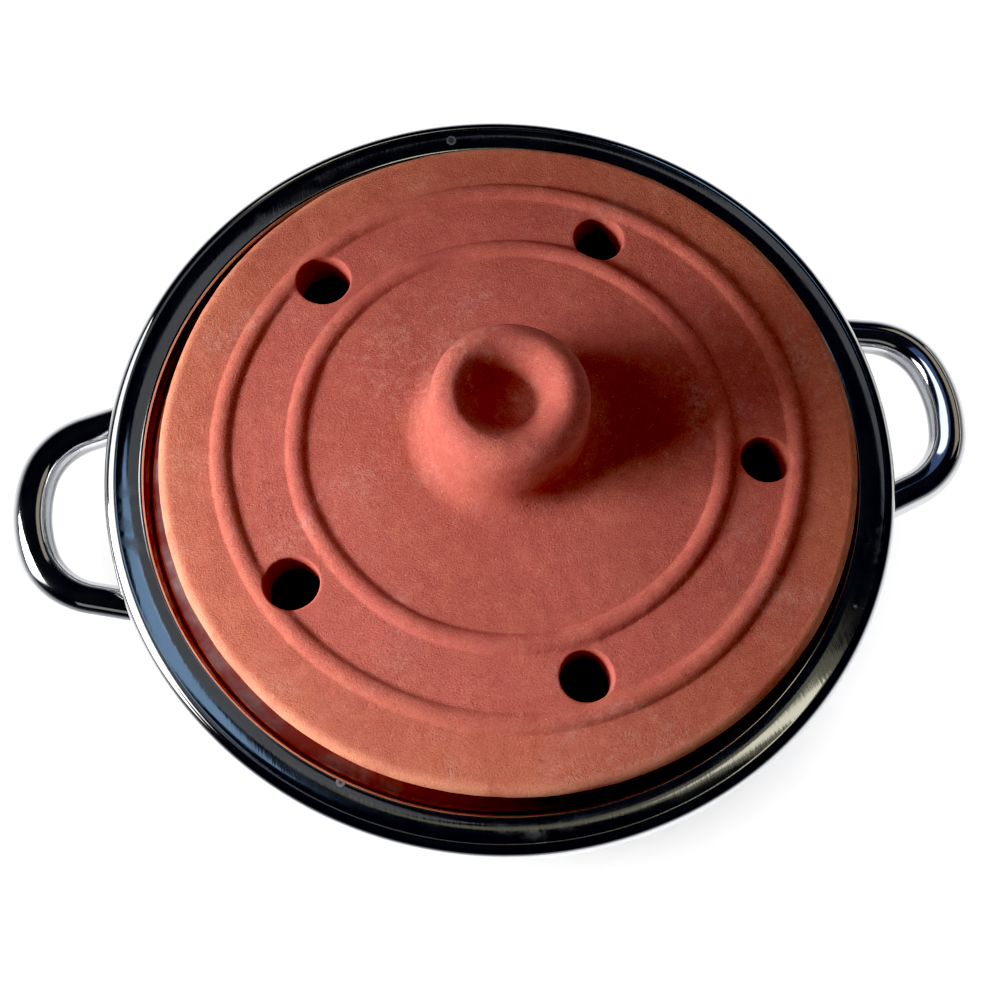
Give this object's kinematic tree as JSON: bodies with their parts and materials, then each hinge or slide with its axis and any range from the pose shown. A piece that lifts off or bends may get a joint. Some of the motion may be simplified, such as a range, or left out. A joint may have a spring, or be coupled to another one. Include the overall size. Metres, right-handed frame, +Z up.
{
  "type": "casserole with clay steam lid",
  "caption": "Low round steel cooking pot with a rolled rim and tubular loop handles, closed by a perforated clay disc lid with a dimpled knob.",
  "frame": {"origin": "centre of the flat underside of the base, on the pot's axis", "axes": "+Z up along the pot's axis, +X out through the right handle, +Y away from a cook who holds both handles"},
  "size_m": [0.3388, 0.272, 0.1312],
  "materials": {
    "polished_steel": "mirror-polished stainless steel, lightly smudged",
    "handle_steel": "mirror-polished stainless steel tube",
    "base_steel": "satin stainless steel",
    "core_aluminium": "plain aluminium, enclosed",
    "fired_clay": "unglazed red earthenware, matt and finely pitted"
  },
  "bodies": {
    "pot": {"pot_shell": "polished_steel", "base_core": "core_aluminium", "base_cap": "base_steel", "left_handle": "handle_steel", "right_handle": "handle_steel", "left_handle_plate": "base_steel", "right_handle_plate": "base_steel"},
    "lid": {"clay_lid": "fired_clay"}
  },
  "joints": [
    {"name": "lid_lift", "type": "slide", "parent": "pot", "child": "lid", "axis": [0, 0, 1], "range_m": [0, 0.12]}
  ]
}
